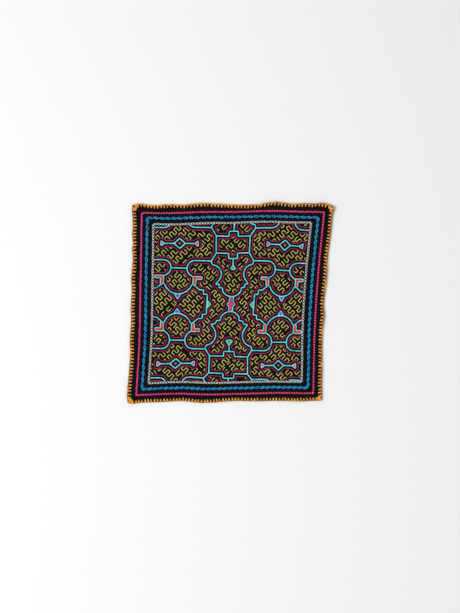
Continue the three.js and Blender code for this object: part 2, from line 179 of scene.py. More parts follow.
def place(s, t):
    """Where points of the flat square lie on the hand-sewn cloth."""
    s, t = np.broadcast_arrays(np.asarray(s, float), np.asarray(t, float))
    reach = np.maximum(np.maximum(abs(s), abs(t)), HALF - RING_DEPTHS[-1])
    p, q = s / reach, t / reach
    depth = HALF - reach
    shares = ((1 - p) * (1 + q) / 4, (1 + p) * (1 + q) / 4, (1 + p) * (1 - q) / 4, (1 - p) * (1 - q) / 4)
    x, y = (
        sum(share * np.interp(depth, RING_DEPTHS, [ring[k][axis] for ring in RING_CORNERS])
            for k, share in enumerate(shares))
        for axis in (0, 1)
    )
    at_edge = np.clip(1 - depth / ROW_DEPTHS["pink"], 0, None)
    across, down = (p + 1) / 2, (1 - q) / 2

    def bulge(side, share):
        return along(SIDES[side]["rows"], share) * (1 - at_edge) + along(SIDES[side]["edge"], share) * at_edge

    x = x + bulge("right", down) * np.maximum(0, p) - bulge("left", down) * np.maximum(0, -p)
    y = y + bulge("top", across) * np.maximum(0, q) - bulge("bottom", across) * np.maximum(0, -q)
    return x, y


def lift(s, t):
    """How far the panel is off the surface at points of the flat square."""
    s, t = np.broadcast_arrays(np.asarray(s, float), np.asarray(t, float))
    reach = np.maximum(np.maximum(abs(s), abs(t)), 1)
    across, down = (s / reach + 1) / 2, (1 - t / reach) / 2
    upright = abs(t) >= abs(s)
    height = np.where(
        upright,
        np.where(t > 0, along(SIDES["top"]["lift"], across), along(SIDES["bottom"]["lift"], across)),
        np.where(s > 0, along(SIDES["right"]["lift"], down), along(SIDES["left"]["lift"], down)),
    )
    curl = np.clip(1 - (HALF - reach) / LIFT_ZONE, 0, 1)
    return height * curl * curl * (3 - 2 * curl)


def from_side(side, run, depth):
    """Points of the flat square from a side, the run along it from its middle and the depth in from it."""
    run, depth = np.broadcast_arrays(np.asarray(run, float), np.asarray(depth, float))
    reach = HALF - depth
    spots = {"top": (run, reach), "bottom": (run, -reach), "left": (-reach, -run), "right": (reach, -run)}
    return spots[side]


def outline_middle():
    run = np.linspace(-HALF, HALF, 1201)
    x, y = np.concatenate([place(*from_side(side, run, 0)) for side in SIDES], axis=1)
    return np.array([(x.min() + x.max()) / 2, (y.min() + y.max()) / 2])


MIDDLE = outline_middle()


def laid(s, t, height):
    """Points on the cloth in millimetres, at a height over its upper face."""
    x, y = place(s, t)
    return np.column_stack([x - MIDDLE[0], y - MIDDLE[1], lift(s, t) + THICK + height])


# Lines on the flat square

def drawn(x, y):
    """Where a point of the regular work lies on the flat square, as it was drawn by hand."""
    u, v = math.tau * x / WANDER_SPAN, math.tau * y / WANDER_SPAN
    low = min(max((-y - LOW_WIDER_FROM) / LOW_WIDER_FADE, 0), 1)
    wider = 1 + LOW_WIDER * low * max(1 - (x / LOW_WIDER_REACH) ** 2, 0)
    level = along(LEVELS, (1 - y / HALF) / 2)
    return np.array([
        x * wider + MIDDLE_RIGHT * (1 - abs(x) / HALF) + WANDER * math.sin(v + u / 2),
        y + level - WORK_LOW - FIELD_LEAN * x + WANDER * math.sin(u - v / 2 + 1),
    ])


def mirrored(points):
    """Every mirrored copy of a cell's points that can reach the field, each kept once."""
    copies = {}
    for column in range(-2, 2):
        for level in range(-2, 2):
            copy = [
                ((column + 1) * CELL_WIDTH - a if column % 2 else column * CELL_WIDTH + a,
                 (level + 1) * CELL_HEIGHT - b if level % 2 else level * CELL_HEIGHT + b)
                for a, b in points
            ]
            key = tuple(sorted((round(x, 2), round(y, 2)) for x, y in copy))
            copies[key] = np.array([drawn(x, y) for x, y in copy])
    return list(copies.values())


MOST_CUT = 0.3  # of a stretch's length, when its bends are taken off
LEAST_MITRE = 0.35  # keeps the mitre of a sharp corner from running far in


def rounded(line, cut, closed=False):
    """The line with each bend taken off by up to the cut, twice."""
    for _ in range(2):
        ring = np.vstack([line, line[:1]]) if closed else line
        steps = np.diff(ring, axis=0)
        lengths = np.maximum(np.linalg.norm(steps, axis=1, keepdims=True), 1e-9)
        trim = steps / lengths * np.minimum(MOST_CUT * lengths, cut)
        pairs = np.stack([ring[:-1] + trim, ring[1:] - trim], axis=1).reshape(-1, line.shape[1])
        line = pairs if closed else np.vstack([line[:1], pairs[1:-1], line[-1:]])
        cut /= 2
    return np.vstack([line, line[:1]]) if closed else line


def evened(line, step):
    """The line with its points at even steps."""
    lengths = np.concatenate([[0], np.cumsum(np.linalg.norm(np.diff(line, axis=0), axis=1))])
    stations = np.linspace(0, lengths[-1], max(2, round(lengths[-1] / step) + 1))
    return np.column_stack([np.interp(stations, lengths, line[:, k]) for k in range(line.shape[1])])


def stretches(line, keep):
    """The stretches of a line whose points are kept."""
    breaks = np.flatnonzero(np.diff(keep.astype(int))) + 1
    starts = np.concatenate([[0], breaks])
    return [part for start, part in zip(starts, np.split(line, breaks)) if keep[start] and len(part) > 3]


def inside_field(line):
    return stretches(line, np.abs(line).max(axis=1) <= FIELD_EDGE)


def inset(polygon, distance):
    """A closed outline moved in by a distance, with mitred corners."""
    x, y = polygon.T
    if (x * np.roll(y, -1) - np.roll(x, -1) * y).sum() < 0:
        polygon = polygon[::-1]
    into = polygon - np.roll(polygon, 1, axis=0)
    into /= np.linalg.norm(into, axis=1, keepdims=True)
    out = np.roll(into, -1, axis=0)
    middle = into + out
    middle /= np.linalg.norm(middle, axis=1, keepdims=True)
    share = np.maximum((middle * out).sum(axis=1, keepdims=True), LEAST_MITRE)
    return polygon + np.column_stack([-middle[:, 1], middle[:, 0]]) * distance / share


def satin(polygon, slant, pitch):
    """Side-by-side stitches at a slant in degrees that fill a closed outline."""
    turn = math.radians(slant)
    lie = np.array([math.cos(turn), math.sin(turn)])
    across = np.array([-lie[1], lie[0]])
    u, v = polygon @ lie, polygon @ across
    stitches = []
    for level in np.arange(v.min() + pitch / 2, v.max(), pitch):
        cuts = []
        for k in range(len(polygon)):
            n = (k + 1) % len(polygon)
            if (v[k] <= level) != (v[n] <= level):
                cuts.append(u[k] + (u[n] - u[k]) * (level - v[k]) / (v[n] - v[k]))
        cuts.sort()
        for low, high in zip(cuts[::2], cuts[1::2]):
            if high - low > SATIN_SHORTEST:
                stitches.append(np.array([lie * low + across * level, lie * high + across * level]))
    return stitches


# The distance to the turquoise lines, which the magenta and yellow lines keep to

GRID_REACH = 156  # half of the grid's side
GRID_PITCH = 0.75
FAR = 40  # stands for every distance over half of it


def distance_grid(lines):
    """The distance to the nearest line over the field, by a measure that cuts off outer corners."""
    axis = np.arange(-GRID_REACH, GRID_REACH + GRID_PITCH, GRID_PITCH)
    grid = np.full((len(axis), len(axis)), float(FAR))
    for line in lines:
        for start, stop in zip(line[:-1], line[1:]):
            low = np.minimum(start, stop) - FAR / 2
            high = np.maximum(start, stop) + FAR / 2
            i0, i1 = np.searchsorted(axis, (low[0], high[0]))
            j0, j1 = np.searchsorted(axis, (low[1], high[1]))
            x, y = np.meshgrid(axis[i0:i1], axis[j0:j1])
            step = stop - start
            share = ((x - start[0]) * step[0] + (y - start[1]) * step[1]) / max(step @ step, 1e-9)
            share = np.clip(share, 0, 1)
            right, up = abs(x - start[0] - share * step[0]), abs(y - start[1] - share * step[1])
            apart = np.maximum(np.maximum(right, up), (right + up) / math.sqrt(2))
            grid[j0:j1, i0:i1] = np.minimum(grid[j0:j1, i0:i1], apart)
    return axis, grid


def contours(axis, grid, level):
    """The lines along which the grid crosses a level, as chains of points."""
    above = grid > level
    links = {}
    spots = {}

    def crossing(i, j, upright):
        key = (i, j, upright)
        if key not in spots:
            a, b = grid[j, i], grid[j + upright, i + 1 - upright]
            share = (level - a) / (b - a)
            x, y = axis[i], axis[j]
            spots[key] = (x, y + share * GRID_PITCH) if upright else (x + share * GRID_PITCH, y)
        return key

    cells = above[:-1, :-1].astype(int) + above[:-1, 1:] + above[1:, :-1] + above[1:, 1:]
    for j, i in np.argwhere((cells > 0) & (cells < 4)):
        corner = above[j, i], above[j, i + 1], above[j + 1, i + 1], above[j + 1, i]
        ends = []
        if corner[0] != corner[1]:
            ends.append(crossing(i, j, 0))
        if corner[1] != corner[2]:
            ends.append(crossing(i + 1, j, 1))
        if corner[2] != corner[3]:
            ends.append(crossing(i, j + 1, 0))
        if corner[3] != corner[0]:
            ends.append(crossing(i, j, 1))
        for a, b in zip(ends[::2], ends[1::2]):
            links.setdefault(a, []).append(b)
            links.setdefault(b, []).append(a)

    chains = []
    seen = set()
    for start in sorted(links, key=lambda key: (len(links[key]), key)):
        if start in seen:
            continue
        chain = [start]
        seen.add(start)
        while True:
            onward = [key for key in links[chain[-1]] if key not in seen]
            if not onward:
                break
            chain.append(onward[0])
            seen.add(onward[0])
        if start in links[chain[-1]] and len(chain) > 2:
            chain.append(start)
        chains.append(np.array([spots[key] for key in chain]))
    return chains


# Thread and yarn meshes

ARCH = np.radians([0, 40, 90, 140, 180])  # a sewn thread, whose lower side is in the cloth
ROUND = np.radians(np.arange(0, 360, 45))  # a yarn that is seen all round
RINGS_A_STITCH = 4
SHORTEST = 0.4  # a shorter thread isn't sewn
TAPER = 0.45  # a thread's width at its two ends, as a share of the rest
TONE_SPREAD = 0.13  # between the stitches of one thread
TEXTURE_SLIP = 50  # each thread begins at a place of its own in the texture, up to this far along
SINK = 0.1  # how far a sewn thread's lower side is in the cloth
STEP, FINE_STEP = 0.7, 0.5  # between the points of a thread's line
SPOTS = 9  # points along a bar, a loop of yarn or a strand


class Threads:
    """Many threads gathered into one mesh, each with a texture place along it and a tone for every stitch."""

    def __init__(self, section, stitch, dent):
        self.section = section
        self.stitch = stitch
        self.dent = dent  # how far a thread narrows where a stitch ends
        self.points, self.faces, self.places, self.tones = [], [], [], []
        self.count = 0

    def add(self, line, width, rise, tone=0.5, taper=TAPER):
        """One thread along a line of (x, y, z), with tone the middle of its stitches' tones."""
        lengths = np.concatenate([[0], np.cumsum(np.linalg.norm(np.diff(line, axis=0), axis=1))])
        if lengths[-1] < SHORTEST:
            return
        stitches = max(1, round(lengths[-1] / self.stitch))
        rings = stitches * RINGS_A_STITCH + 1
        stations = np.linspace(0, lengths[-1], rings)
        path = np.column_stack([np.interp(stations, lengths, line[:, k]) for k in range(3)])
        heading = np.gradient(path, axis=0)
        heading /= np.maximum(np.linalg.norm(heading, axis=1, keepdims=True), 1e-9)
        flat = np.maximum(np.hypot(heading[:, 0], heading[:, 1]), 1e-6)
        across = np.column_stack([-heading[:, 1] / flat, heading[:, 0] / flat, np.zeros(rings)])
        upward = np.cross(heading, across)
        phase = np.arange(rings) / RINGS_A_STITCH % 1
        swell = 1 - self.dent * (1 - np.sin(np.pi * phase) ** 0.7)
        swell[[0, -1]] *= taper
        wide = (np.cos(self.section) * width / 2)[None, :, None] * swell[:, None, None]
        tall = (np.sin(self.section) * rise)[None, :, None] * swell[:, None, None]
        points = path[:, None, :] + wide * across[:, None, :] + tall * upward[:, None, :]
        n = len(self.section)
        base = self.count
        closed = self.section is ROUND
        ring, side = np.meshgrid(np.arange(rings - 1), np.arange(n if closed else n - 1), indexing="ij")
        after = (side + 1) % n
        quads = np.stack([ring * n + side, ring * n + after, (ring + 1) * n + after, (ring + 1) * n + side],
                         axis=-1)
        self.faces.append(quads.reshape(-1, 4) + base)
        self.points.append(points.reshape(-1, 3))
        self.places.append(np.stack([
            np.repeat(stations + rng.uniform(0, TEXTURE_SLIP), n),
            np.tile(np.linspace(0, 1, n), rings),
        ], axis=-1))
        each = np.array([rng.gauss(tone, TONE_SPREAD) for _ in range(stitches + 1)])
        self.tones.append(np.repeat(each[np.arange(rings) // RINGS_A_STITCH], n))
        self.count += rings * n

    def piece(self, name, material):
        points = np.concatenate(self.points) * MM
        faces = np.concatenate(self.faces)
        places = np.concatenate(self.places)
        return mesh_piece(name, points, faces, material, places, np.concatenate(self.tones))


def added(name, data):
    """A new object in the scene."""
    thing = bpy.data.objects.new(name, data)
    bpy.context.scene.collection.objects.link(thing)
    return thing


def mesh_piece(name, points, faces, material, places=None, tones=None):
    mesh = bpy.data.meshes.new(name)
    mesh.from_pydata(points.tolist(), [], faces.tolist())
    mesh.polygons.foreach_set("use_smooth", np.ones(len(mesh.polygons), dtype=bool))
    if places is not None:
        corner = np.empty(len(mesh.loops), dtype=int)
        mesh.loops.foreach_get("vertex_index", corner)
        mesh.uv_layers.new(name="along").data.foreach_set("uv", places[corner].ravel())
    if tones is not None:
        mesh.attributes.new("tone", "FLOAT", "POINT").data.foreach_set("value", tones)
    mesh.materials.append(material)
    piece = added(name, mesh)
    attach(piece, "root")
    return piece


# Materials

def linear(code):
    """A colour written as in a paint list, in the linear values that the nodes take."""
    values = [int(code[k:k + 2], 16) / 255 for k in (0, 2, 4)]
    return [v / 12.92 if v <= 0.04045 else ((v + 0.055) / 1.055) ** 2.4 for v in values] + [1]


class Nodes:
    """A material's node tree, with a short way to add and join nodes."""

    def __init__(self, name):
        self.material = bpy.data.materials.new(name)
        self.material.use_nodes = True
        self.tree = self.material.node_tree
        self.shader = self.tree.nodes["Principled BSDF"]

    def add(self, kind, values=None, **settings):
        node = self.tree.nodes.new(kind)
        for key, value in settings.items():
            setattr(node, key, value)
        for key, value in (values or {}).items():
            if isinstance(value, bpy.types.NodeSocket):
                self.tree.links.new(value, node.inputs[key])
            else:
                node.inputs[key].default_value = value
        return node

    def math(self, operation, a, b=0.0, c=0.0):
        return self.add("ShaderNodeMath", {0: a, 1: b, 2: c}, operation=operation).outputs[0]

    def mix(self, factor, a, b):
        node = self.add("ShaderNodeMix", {"Factor": factor}, data_type="RGBA")
        for socket, value in ((node.inputs[6], a), (node.inputs[7], b)):
            if isinstance(value, bpy.types.NodeSocket):
                self.tree.links.new(value, socket)
            else:
                socket.default_value = value
        return node.outputs[2]

    def noise(self, vector, scale, detail=2.0, roughness=0.5):
        values = {"Vector": vector, "Scale": scale, "Detail": detail, "Roughness": roughness}
        return self.add("ShaderNodeTexNoise", values).outputs["Fac"]

    def scaled(self, vector, by):
        return self.add("ShaderNodeVectorMath", {0: vector, 1: by}, operation="MULTIPLY").outputs[0]

    def swayed(self, level, value, share):
        """The level, moved by a share of how far a value between 0 and 1 is from its middle."""
        return self.math("MULTIPLY_ADD", self.math("SUBTRACT", value, 0.5), share, level)

    def ramp(self, level, *stops):
        """The colour at a level, from (place, colour) stops in order."""
        ramp = self.add("ShaderNodeValToRGB", {"Fac": level})
        elements = ramp.color_ramp.elements
        for element, (place_on, colour) in zip(elements, (stops[0], stops[-1])):
            element.position, element.color = place_on, linear(colour)
        for place_on, colour in stops[1:-1]:
            elements.new(place_on).color = linear(colour)
        return ramp.outputs[0]

    def finish(self, colour, rough, height, distance, strength, fixed):
        """The material, with the shader's fixed values given by the names of its sockets."""
        bump = self.add("ShaderNodeBump", {"Height": height, "Distance": distance, "Strength": strength})
        self.tree.links.new(colour, self.shader.inputs["Base Color"])
        self.tree.links.new(rough, self.shader.inputs["Roughness"])
        self.tree.links.new(bump.outputs[0], self.shader.inputs["Normal"])
        for key, value in fixed.items():
            self.shader.inputs[key].default_value = value
        return self.material


def thread_material(name, dark, middle, light, ply=1.1, hairs=0.35):
    """Twisted thread: plies that slant across it, with painted shade in the grooves between them, fine hairs,
    and a tone for every stitch, which differs at random and on the edging yarn and the pink and blue rows
    also carries painted shade and highlight.
    """
    n = Nodes(name)
    place_along = n.add("ShaderNodeUVMap", uv_map="along").outputs[0]
    split = n.add("ShaderNodeSeparateXYZ", {0: place_along})
    body = n.add("ShaderNodeTexCoord").outputs["Object"]
    tone = n.add("ShaderNodeAttribute", attribute_name="tone").outputs["Fac"]
    turns = n.math("MULTIPLY", split.outputs[0], math.tau / ply)
    slant = n.math("MULTIPLY_ADD", split.outputs[1], 5.0, turns)
    plies = n.math("MULTIPLY_ADD", n.math("SINE", slant), 0.5, 0.5)
    hair = n.noise(n.scaled(place_along, (1.4, 26.0, 1.0)), 1.6, 3.0, 0.65)
    patch = n.noise(body, 55.0, 2.0)
    wear = n.noise(body, 420.0, 2.0, 0.6)
    level = tone
    # plies paints shade into the grooves between the plies, as their bump does; patch, hair and wear are the
    # thread's own uneven colour
    for value, share in ((patch, 0.6), (plies, 0.22), (hair, hairs), (wear, 0.3)):
        level = n.swayed(level, value, share)
    colour = n.ramp(level, (0.08, dark), (0.5, middle), (0.92, light))
    rough = n.math("MULTIPLY_ADD", hair, 0.25, 0.5)
    height = n.math("MULTIPLY_ADD", plies, 0.7, n.math("MULTIPLY", hair, 0.5))
    return n.finish(colour, rough, height, 0.00022, 0.8,
                    {"Sheen Weight": 0.15, "Sheen Roughness": 0.45, "Specular IOR Level": 0.35})


def cotton_material(name, dark, light, weave_pitch=0.55):
    """Plain-woven black cotton: crossed threads whose hollows are painted darker as shade, slubs, lint and a
    little fading.
    """
    n = Nodes(name)
    body = n.add("ShaderNodeTexCoord").outputs["Object"]
    wobble = n.noise(body, 90.0, 2.0)
    shifted = n.add("ShaderNodeVectorMath", {0: body, 1: (0.00035, 0.00035, 0.0)}, operation="MULTIPLY_ADD")
    n.tree.links.new(wobble, shifted.inputs[1])
    moved = n.add("ShaderNodeVectorMath", {0: body, 1: shifted.outputs[0]}, operation="ADD")
    split = n.add("ShaderNodeSeparateXYZ", {0: body})
    turn = math.tau / (weave_pitch * MM)
    warp = n.math("SINE", n.math("MULTIPLY", split.outputs[0], turn))
    weft = n.math("SINE", n.math("MULTIPLY", split.outputs[1], turn))
    weave = n.math("MULTIPLY_ADD", n.math("MULTIPLY", warp, weft), 0.5, 0.5)
    along_warp, along_weft = n.scaled(body, (1400.0, 60.0, 1.0)), n.scaled(body, (60.0, 1400.0, 1.0))
    slubs = n.math("MAXIMUM", n.noise(along_warp, 1.0, 2.0), n.noise(along_weft, 1.0, 2.0))
    fade = n.noise(body, 14.0, 3.0)
    lint = n.math("SUBTRACT", n.noise(moved.outputs[0], 900.0, 2.0, 0.7), 0.62)
    level = n.swayed(0.35, fade, 0.9)
    # The weave is painted darker in its hollows and lighter on its crossings: painted shade that follows its
    # bump.
    level = n.math("MULTIPLY_ADD", weave, 0.18, level)
    level = n.swayed(level, slubs, 0.5)
    level = n.math("MULTIPLY_ADD", n.math("MAXIMUM", lint, 0.0), 3.0, level)
    colour = n.ramp(level, (0.1, dark), (1.0, light))
    rough = n.math("MULTIPLY_ADD", slubs, 0.1, 0.82)
    height = n.math("MULTIPLY_ADD", slubs, 0.8, weave)
    return n.finish(colour, rough, height, 0.00025, 0.7,
                    {"Sheen Weight": 0.03, "Sheen Roughness": 0.5, "Specular IOR Level": 0.12})


THREADS = {
    "turquoise": thread_material("turquoise_thread", "30A4AA", "5EE2E2", "A4FAF6"),
    "magenta": thread_material("magenta_thread", "8A0C46", "DA1E68", "F64A8C"),
    "yellow": thread_material("yellow_thread", "BEAC44", "FAE86E", "FFFAAC"),
    "red": thread_material("red_thread", "B01C06", "E42C0A", "F85026"),
    "green": thread_material("green_thread", "3C8E34", "5EB834", "94DC60"),
    "purple": thread_material("purple_thread", "6A1AA4", "9C2CD6", "C464EE"),
    "rose": thread_material("rose_thread", "C0105A", "EC2478", "FF5CA4"),
    # Its dark and light stops carry the zigzag row's painted shade and painted highlight.
    "pink": thread_material("pink_thread", "D80E60", "FF2C88", "FF58A4"),
    # Its dark stop is the twisted row's painted shade, and its light stop its painted highlight.
    "blue": thread_material("blue_thread", "043C74", "008ED4", "1CC0F4"),
    "white": thread_material("white_thread", "A8A4A6", "FAF8F9", "FFFFFF"),
    # Its dark stop is reached by the edging yarn's painted shade.
    "orange": thread_material("orange_yarn", "7A4408", "FAA026", "FFCA60", ply=1.9, hairs=0.45),
}
COTTON = cotton_material("black_cotton", "020204", "0E0E13")


# The panel

def panel():
    reach = HALF - PANEL_DEPTH
    lines = np.linspace(-reach, reach, round(2 * reach / PANEL_PITCH) + 1)
    s, t = (grid.ravel() for grid in np.meshgrid(lines, lines))
    upper = laid(s, t, 0)
    lower = upper - [0, 0, THICK]
    n = len(lines)
    i, j = (grid.ravel() for grid in np.meshgrid(np.arange(n - 1), np.arange(n - 1)))
    tops = np.stack([j * n + i, j * n + i + 1, (j + 1) * n + i + 1, (j + 1) * n + i], axis=-1)
    unders = tops[:, ::-1] + n * n
    k = np.arange(n - 1)
    rims = [(k, k + 1), ((n - 1) * n + k + 1, (n - 1) * n + k), ((k + 1) * n, k * n),
            (k * n + n - 1, (k + 1) * n + n - 1)]
    walls = [np.stack([b, a, a + n * n, b + n * n], axis=-1) for a, b in rims]
    faces = np.vstack([tops, unders, *walls])
    return mesh_piece("cloth", np.vstack([upper, lower]) * MM, faces, COTTON)


# The sewn rows

# Each kind of stitch, as (width, rise, how far it arches over the cloth, tone)
# The pink stitches' tones are painted light: the thick strokes carry a painted highlight and the thin ones
# painted shade.
PINK_THIN, PINK_THICK = (1, 0.7, 0, 0.15), (2.2, 1.1, 0.1, 0.8)
WHITE_UNDER, WHITE_OVER, WHITE_BAR = (0.7, 0.6, 0, 0.5), (0.7, 0.7, 0.4, 0.5), (2, 1, 0.2, 1)
WHITE_BAR_REACH = 1  # half of its length
BLUE_STRAND = (1.05, 0.9, 0.3)  # without a tone, which goes by its place in the stitch
# the inner strands are darker as painted shade in the braid's middle, and the outer ones lighter as a painted
# highlight
BLUE_STRANDS = ((-1.5, 0.75), (-0.5, 0.3), (0.5, 0.3), (1.5, 0.75))  # each one's place across and tone
BLUE_REACH = 0.54  # half a strand's length, as a share of the stitch's
BLUE_LEAN, BLUE_SWELL = 0.7, 1.4  # how far the strands lean, and how far apart they are in the middle


def round_the_cloth(depth, period):
    """Each side in turn, with the middles and the length of its stitches along it."""
    reach = HALF - depth
    for side in SIDES:
        x, y = place(*from_side(side, np.linspace(-reach, reach, 200), depth))
        length = np.hypot(np.diff(x), np.diff(y)).sum()
        count = round(length / period[side])
        pitch = 2 * reach / count
        yield side, -reach + pitch * (np.arange(count) + 0.5), pitch


def sew(threads, side, spots, width, rise, height, tone):
    """One stitch through (run, depth) spots beside a side, arched from end to end."""
    spots = evened(np.array(spots, float), STEP)
    arch = np.sin(np.linspace(0, np.pi, len(spots))) ** 0.5
    s, t = from_side(side, spots[:, 0], spots[:, 1])
    threads.add(laid(s, t, height * arch - SINK), width, rise, tone)


def pink_row():
    threads = Threads(ARCH, stitch=4.2, dent=0.2)
    depth, reach = ROW_DEPTHS["pink"], 1.6
    period = {"top": 4.75, "right": 4.94, "bottom": 4.74, "left": 4.4}
    for side, middles, pitch in round_the_cloth(depth, period):
        for run in middles:
            slip = rng.uniform(-0.3, 0.3)
            low, high = depth - reach + slip, depth + reach + slip
            # the thin stroke in painted shade, the thick one with a painted highlight
            sew(threads, side, [(run - pitch / 2, low), (run, high)], *PINK_THIN)
            sew(threads, side, [(run, high), (run + pitch / 2, low)], *PINK_THICK)
    return threads.piece("zigzag_row", THREADS["pink"])


def blue_row():
    threads = Threads(ARCH, stitch=6.0, dent=0.2)
    depth = ROW_DEPTHS["blue"]
    period = {"top": 10.8, "right": 10.4, "bottom": 10, "left": 11.6}
    for side, middles, pitch in round_the_cloth(depth, period):
        for run in middles:
            slip = rng.uniform(-0.3, 0.3)
            # each strand's tone paints shade on the inner strands and a highlight on the outer ones
            for strand, tone in BLUE_STRANDS:
                share = np.linspace(-BLUE_REACH, BLUE_REACH, SPOTS)
                lean = BLUE_LEAN * np.sin(share * np.pi)
                swell = BLUE_SWELL * strand * np.maximum(np.cos(share * np.pi), 0) ** 1.7
                line = np.column_stack([run + share * pitch, depth + lean + swell + slip])
                sew(threads, side, line, *BLUE_STRAND, rng.gauss(tone, 0.1))
    return threads.piece("twisted_row", THREADS["blue"])


def white_row():
    threads = Threads(ARCH, stitch=6.0, dent=0.2)
    depth, reach = ROW_DEPTHS["white"], 2.1
    period = {"top": 5.2, "right": 5.3, "bottom": 5, "left": 5.15}
    for side, middles, pitch in round_the_cloth(depth, period):
        for run in middles:
            slip = rng.uniform(-0.2, 0.2)
            left, right = run - pitch / 2, run + pitch / 2
            low, high = depth - reach + slip, depth + reach + slip
            sew(threads, side, [(left, low), (right, high)], *WHITE_UNDER)
            sew(threads, side, [(left, high), (right, low)], *WHITE_OVER)
            ends = [(run - WHITE_BAR_REACH, depth + slip), (run + WHITE_BAR_REACH, depth + slip)]
            sew(threads, side, ends, *WHITE_BAR)
    return threads.piece("crossed_row", THREADS["white"])


# The blanket stitch

# From the outside to a bar's inner end
BAR_LENGTHS = {"top": 6.2, "right": 6.8, "bottom": 6, "left": 7.5}
BAR_ROOT, BAR_TIP = 3, 2  # a bar's width at the edging yarn and at its inner end
YARN = 1.6  # each of a bar's two yarns
BAR_LEAN, BAR_UNEVEN = 0.9, 0.5  # how far the bars lean over and how far they differ in length
BAR_CORNER = 10  # the evenly spaced bars keep this far from a corner
RIM_DEPTH = 1.25  # the edging yarn's middle
BAR_OUTER = RIM_DEPTH + 0.3  # a bar's outer end
CORNER_HOLE = 7.6  # from both outsides to the hole that a corner's bars share
CORNER_SPREAD = 5.4  # along a side, from the edging yarn's corner to the bar beside it
BAR_RISE = ((0, 0.08, 0.3, 0.8, 1), (-0.9, 0.1, 0.55, 0.6, 0))  # its heights at shares from its inner end
BAR_ROUND = 0.45  # a yarn's rise, as a share of its width
RIM = {"width": 2.5, "rise": 1.35}
RIM_OVERLAP, RIM_BOW, RIM_ARCH = 0.9, 0.25, 0.45  # how far a loop runs over its bars, bows and arches
# The edging yarn's tone at a side's two ends, left to right or top to bottom: painted shade that keeps it
# darker than its bars, least at the top left
RIM_SHADE_TONES = {"top": (0.5, 0.15), "right": (0.1, 0.1), "bottom": (0.15, 0.1), "left": (0.08, 0.08)}


def bar(threads, inner, outer, width):
    """Two yarns side by side from a hole in the panel out to the edging yarn."""
    inner, outer = np.array(inner, float), np.array(outer, float)
    lie = (outer - inner) / np.linalg.norm(outer - inner)
    across = np.array([-lie[1], lie[0]])
    tone = rng.gauss(0.55, 0.08)
    for hand in (-1, 1):
        tip = inner + across * hand * (BAR_TIP - YARN) / 2
        root = outer + across * hand * (BAR_ROOT - YARN) / 2
        share = np.linspace(0, 1, SPOTS)[:, None]
        spots = tip * (1 - share) + root * share
        height = np.interp(share[:, 0], *BAR_RISE)
        threads.add(laid(spots[:, 0], spots[:, 1], height), width, width * BAR_ROUND, tone, taper=0.7)


def stretch_at(side, run):
    """How much wider the margin lies there than it is on the flat square."""
    x, y = place(*from_side(side, run, [0, ROW_DEPTHS["pink"]]))
    return math.hypot(x[1] - x[0], y[1] - y[0]) / ROW_DEPTHS["pink"]


def edging(side):
    threads = Threads(ROUND, stitch=2.6, dent=0.08)
    count = SIDES[side]["bars"]
    pitch = 2 * (HALF - BAR_CORNER) / (count - 1)
    middles = -HALF + BAR_CORNER + pitch * np.arange(count)
    for k, middle in enumerate(middles):
        lean = BAR_LEAN * math.sin(k / 4 + count) + BAR_UNEVEN * math.sin(2 * k)
        length = BAR_LENGTHS[side] + BAR_UNEVEN * math.sin(2.3 * k + count)
        inner = from_side(side, middle + lean, length / stretch_at(side, middle))
        outer = from_side(side, middle, BAR_OUTER)
        bar(threads, inner, outer, YARN)
    # Two bars at the side's far corner and one at its near one, so the lower right corner of the cloth has
    # four in all and the upper left one has two
    turn = np.sign(from_side(side, HALF, 0))
    for offset in (0, CORNER_SPREAD):
        outer = from_side(side, HALF - RIM_DEPTH - offset, BAR_OUTER)
        bar(threads, turn * (HALF - CORNER_HOLE), outer, YARN)
    start = np.sign(from_side(side, -HALF, 0))
    outer = from_side(side, -HALF + RIM_DEPTH + CORNER_SPREAD, BAR_OUTER)
    bar(threads, start * (HALF - CORNER_HOLE), outer, YARN)

    stops = np.concatenate([[-HALF + RIM_DEPTH], middles, [HALF - RIM_DEPTH]])
    for low, high in zip(stops[:-1], stops[1:]):
        run = np.linspace(low - RIM_OVERLAP, high + RIM_OVERLAP, SPOTS)
        share = np.linspace(0, 1, SPOTS)
        depth = RIM_DEPTH + RIM_BOW * np.cos(share * np.pi) + rng.uniform(-0.1, 0.1)
        s, t = from_side(side, np.clip(run, -HALF + RIM_DEPTH, HALF - RIM_DEPTH), depth)
        height = 0.1 - THICK / 2 + RIM_ARCH * np.sin(share * np.pi)
        # the edging yarn's painted shade
        tone = np.interp(low, [-HALF, HALF], RIM_SHADE_TONES[side])
        threads.add(laid(s, t, height), **RIM, tone=rng.gauss(tone, 0.06), taper=0.8)
    return threads.piece(f"blanket_stitch_{side}", THREADS["orange"])


# The line work

LINE = {"width": 2.2, "rise": 0.95}
PAD_LINE = {"width": 2, "rise": 0.9}
PAD_BORDER = 1.65  # from a pad's outline to its fill
LINE_BEND, PAD_BEND, MAZE_BEND = 0.9, 0.6, 0.2  # how much is taken off at each bend
SATIN = {"width": 0.85, "rise": 0.8}
SATIN_PITCH, SATIN_HEIGHT = 0.62, 0.25  # between its stitches, and over the cloth
SATIN_SHORTEST = 0.5  # a shorter stitch isn't sewn
BESIDE = 5.0  # from a turquoise line to the magenta one beside it
MAGENTA = {"width": 1, "rise": 0.7}
MAGENTA_SHORT = 8  # the most points of a chain that isn't sewn
MAZE_CLEAR = 6.8  # from a turquoise line to the nearest yellow one
MAZE_PITCH = 5.7  # from leg to leg along a wave
MAZE_LEG = 8.4  # a wave's legs
MAZE_BAND = 13.6  # from one band of waves to the next
MAZE_PATCH = 3 * MAZE_BAND  # the side of a patch whose waves run one way
MAZE_BREAK = 0.08  # how often a wave is broken off
MAZE_UNEVEN = 0.2  # about how far a wave's corners are out of place
MAZE_STEP, MAZE_SHORT = 0.4, 7  # between a line's points, and the most points of one that isn't sewn
MAZE = {"width": 1.1, "rise": 0.7}
